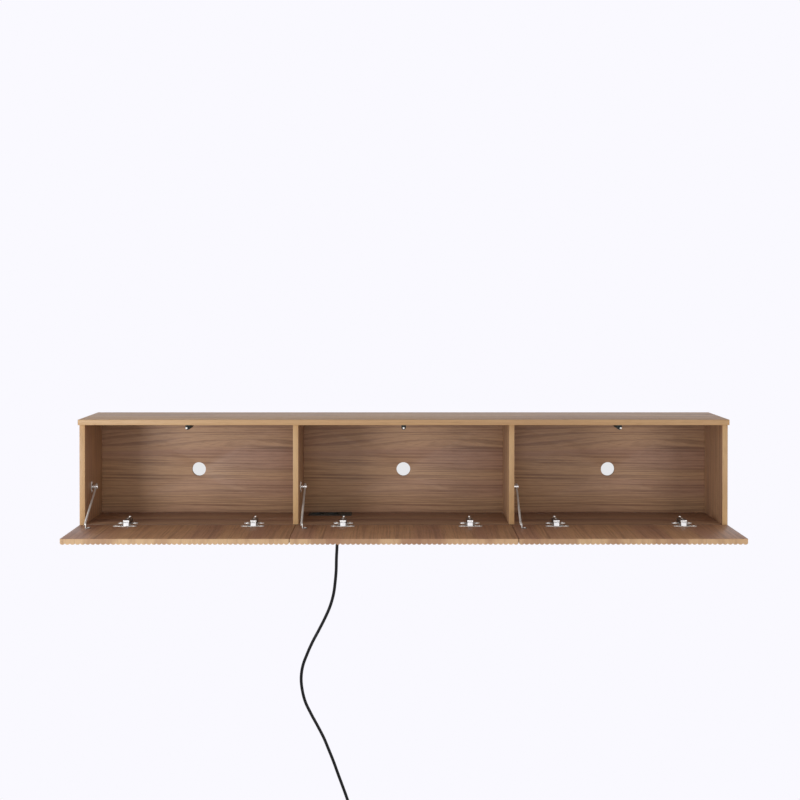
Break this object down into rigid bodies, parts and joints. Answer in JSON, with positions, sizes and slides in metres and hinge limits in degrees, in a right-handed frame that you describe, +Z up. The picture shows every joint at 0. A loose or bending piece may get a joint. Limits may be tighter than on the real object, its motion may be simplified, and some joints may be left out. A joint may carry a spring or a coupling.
{
  "type": "floating media console",
  "caption": "Wall-hung media console with open bays behind drop-down reeded flaps, sliding stays, push latches, cable holes and a built-in power unit with its cord.",
  "frame": {"origin": "centre of the wall rail's back face, on the wall", "axes": "+X to the right seen from the front, +Y into the wall, +Z up"},
  "size_m": [1.8, 0.5997, 1.3469],
  "materials": {
    "cabinet_wood": "smooth walnut-look laminate, satin",
    "flap_wood": "reeded walnut-look board, satin",
    "rail_wood": "plain unfinished timber",
    "hinge_nickel": "nickel-plated steel, semi-gloss",
    "stay_steel": "bright drawn steel",
    "black_plastic": "matt black moulding",
    "cord_rubber": "black flexible sheath"
  },
  "bodies": {
    "cabinet": {"top_panel": "cabinet_wood", "bottom_panel": "cabinet_wood", "left_side_panel": "cabinet_wood", "right_side_panel": "cabinet_wood", "left_divider": "cabinet_wood", "right_divider": "cabinet_wood", "hanging_rail": "rail_wood", "wall_rail": "rail_wood", "power_unit": "black_plastic", "power_cord": "cord_rubber", "cord_coil": "cord_rubber", "cord_plug": "cord_rubber", "left_back_panel": "cabinet_wood", "left_hinge_a_arm": "hinge_nickel", "left_hinge_a_plate": "hinge_nickel", "left_hinge_b_arm": "hinge_nickel", "left_hinge_b_plate": "hinge_nickel", "left_stay_bracket": "hinge_nickel", "left_latch_housing": "black_plastic", "middle_back_panel": "cabinet_wood", "middle_hinge_a_arm": "hinge_nickel", "middle_hinge_a_plate": "hinge_nickel", "middle_hinge_b_arm": "hinge_nickel", "middle_hinge_b_plate": "hinge_nickel", "middle_stay_bracket": "hinge_nickel", "middle_latch_housing": "black_plastic", "right_back_panel": "cabinet_wood", "right_hinge_a_arm": "hinge_nickel", "right_hinge_a_plate": "hinge_nickel", "right_hinge_b_arm": "hinge_nickel", "right_hinge_b_plate": "hinge_nickel", "right_stay_bracket": "hinge_nickel", "right_latch_housing": "black_plastic"},
    "left_hinge_a_link": {"left_hinge_a_link": "hinge_nickel"},
    "left_hinge_b_link": {"left_hinge_b_link": "hinge_nickel"},
    "left_flap": {"left_flap": "flap_wood", "left_hinge_a_cup": "hinge_nickel", "left_hinge_b_cup": "hinge_nickel", "left_stay_foot": "hinge_nickel"},
    "left_stay_swivel": {"left_stay_swivel": "hinge_nickel"},
    "left_stay_rod": {"left_stay_rod": "stay_steel"},
    "left_latch_plunger": {"left_latch_plunger": "black_plastic"},
    "middle_hinge_a_link": {"middle_hinge_a_link": "hinge_nickel"},
    "middle_hinge_b_link": {"middle_hinge_b_link": "hinge_nickel"},
    "middle_flap": {"middle_flap": "flap_wood", "middle_hinge_a_cup": "hinge_nickel", "middle_hinge_b_cup": "hinge_nickel", "middle_stay_foot": "hinge_nickel"},
    "middle_stay_swivel": {"middle_stay_swivel": "hinge_nickel"},
    "middle_stay_rod": {"middle_stay_rod": "stay_steel"},
    "middle_latch_plunger": {"middle_latch_plunger": "black_plastic"},
    "right_hinge_a_link": {"right_hinge_a_link": "hinge_nickel"},
    "right_hinge_b_link": {"right_hinge_b_link": "hinge_nickel"},
    "right_flap": {"right_flap": "flap_wood", "right_hinge_a_cup": "hinge_nickel", "right_hinge_b_cup": "hinge_nickel", "right_stay_foot": "hinge_nickel"},
    "right_stay_swivel": {"right_stay_swivel": "hinge_nickel"},
    "right_stay_rod": {"right_stay_rod": "stay_steel"},
    "right_latch_plunger": {"right_latch_plunger": "black_plastic"}
  },
  "joints": [
    {"name": "left_flap", "type": "hinge", "parent": "cabinet", "child": "left_flap", "pos_m": [-0.599, -0.3187, -0.1979], "axis": [-1, 0, 0], "range_deg": [0, 90]},
    {"name": "left_hinge_a_link", "type": "hinge", "parent": "cabinet", "child": "left_hinge_a_link", "pos_m": [-0.76795, -0.3187, -0.1854], "axis": [1, 0, 0], "range_deg": [0, 42.51]},
    {"name": "left_hinge_b_link", "type": "hinge", "parent": "cabinet", "child": "left_hinge_b_link", "pos_m": [-0.41595, -0.3187, -0.1854], "axis": [1, 0, 0], "range_deg": [0, 42.51]},
    {"name": "left_stay_swivel", "type": "hinge", "parent": "cabinet", "child": "left_stay_swivel", "pos_m": [-0.8709, -0.206, -0.0969], "axis": [-1, 0, 0], "range_deg": [0, 5.63]},
    {"name": "left_stay_rod", "type": "slide", "parent": "left_stay_swivel", "child": "left_stay_rod", "axis": [0, 0.9035, 0.4285], "range_m": [0, 0.09552]},
    {"name": "left_latch_plunger", "type": "slide", "parent": "cabinet", "child": "left_latch_plunger", "axis": [0, 1, 0], "range_m": [0, 0.0222]},
    {"name": "middle_flap", "type": "hinge", "parent": "cabinet", "child": "middle_flap", "pos_m": [0, -0.3187, -0.1979], "axis": [-1, 0, 0], "range_deg": [0, 90]},
    {"name": "middle_hinge_a_link", "type": "hinge", "parent": "cabinet", "child": "middle_hinge_a_link", "pos_m": [-0.1681, -0.3187, -0.1854], "axis": [1, 0, 0], "range_deg": [0, 42.51]},
    {"name": "middle_hinge_b_link", "type": "hinge", "parent": "cabinet", "child": "middle_hinge_b_link", "pos_m": [0.1839, -0.3187, -0.1854], "axis": [1, 0, 0], "range_deg": [0, 42.51]},
    {"name": "middle_stay_swivel", "type": "hinge", "parent": "cabinet", "child": "middle_stay_swivel", "pos_m": [-0.2794, -0.206, -0.0969], "axis": [-1, 0, 0], "range_deg": [0, 5.63]},
    {"name": "middle_stay_rod", "type": "slide", "parent": "middle_stay_swivel", "child": "middle_stay_rod", "axis": [0, 0.9035, 0.4285], "range_m": [0, 0.09552]},
    {"name": "middle_latch_plunger", "type": "slide", "parent": "cabinet", "child": "middle_latch_plunger", "axis": [0, 1, 0], "range_m": [0, 0.0222]},
    {"name": "right_flap", "type": "hinge", "parent": "cabinet", "child": "right_flap", "pos_m": [0.599, -0.3187, -0.1979], "axis": [-1, 0, 0], "range_deg": [0, 90]},
    {"name": "right_hinge_a_link", "type": "hinge", "parent": "cabinet", "child": "right_hinge_a_link", "pos_m": [0.42315, -0.3187, -0.1854], "axis": [1, 0, 0], "range_deg": [0, 42.51]},
    {"name": "right_hinge_b_link", "type": "hinge", "parent": "cabinet", "child": "right_hinge_b_link", "pos_m": [0.77515, -0.3187, -0.1854], "axis": [1, 0, 0], "range_deg": [0, 42.51]},
    {"name": "right_stay_swivel", "type": "hinge", "parent": "cabinet", "child": "right_stay_swivel", "pos_m": [0.3196, -0.206, -0.0969], "axis": [-1, 0, 0], "range_deg": [0, 5.63]},
    {"name": "right_stay_rod", "type": "slide", "parent": "right_stay_swivel", "child": "right_stay_rod", "axis": [0, 0.9035, 0.4285], "range_m": [0, 0.09552]},
    {"name": "right_latch_plunger", "type": "slide", "parent": "cabinet", "child": "right_latch_plunger", "axis": [0, 1, 0], "range_m": [0, 0.0222]}
  ],
  "couplings": [
    {"joint": "left_hinge_a_link", "follows": "left_flap", "ratio": 0.47223},
    {"joint": "left_hinge_b_link", "follows": "left_flap", "ratio": 0.47223},
    {"joint": "left_stay_swivel", "follows": "left_flap", "ratio": 0.062401},
    {"joint": "left_stay_rod", "follows": "left_flap", "m_per_rad": 0.060778},
    {"joint": "left_latch_plunger", "follows": "left_flap", "m_per_rad": 0.014069},
    {"joint": "middle_hinge_a_link", "follows": "middle_flap", "ratio": 0.47223},
    {"joint": "middle_hinge_b_link", "follows": "middle_flap", "ratio": 0.47223},
    {"joint": "middle_stay_swivel", "follows": "middle_flap", "ratio": 0.062401},
    {"joint": "middle_stay_rod", "follows": "middle_flap", "m_per_rad": 0.060778},
    {"joint": "middle_latch_plunger", "follows": "middle_flap", "m_per_rad": 0.014069},
    {"joint": "right_hinge_a_link", "follows": "right_flap", "ratio": 0.47223},
    {"joint": "right_hinge_b_link", "follows": "right_flap", "ratio": 0.47223},
    {"joint": "right_stay_swivel", "follows": "right_flap", "ratio": 0.062401},
    {"joint": "right_stay_rod", "follows": "right_flap", "m_per_rad": 0.060778},
    {"joint": "right_latch_plunger", "follows": "right_flap", "m_per_rad": 0.014069}
  ]
}
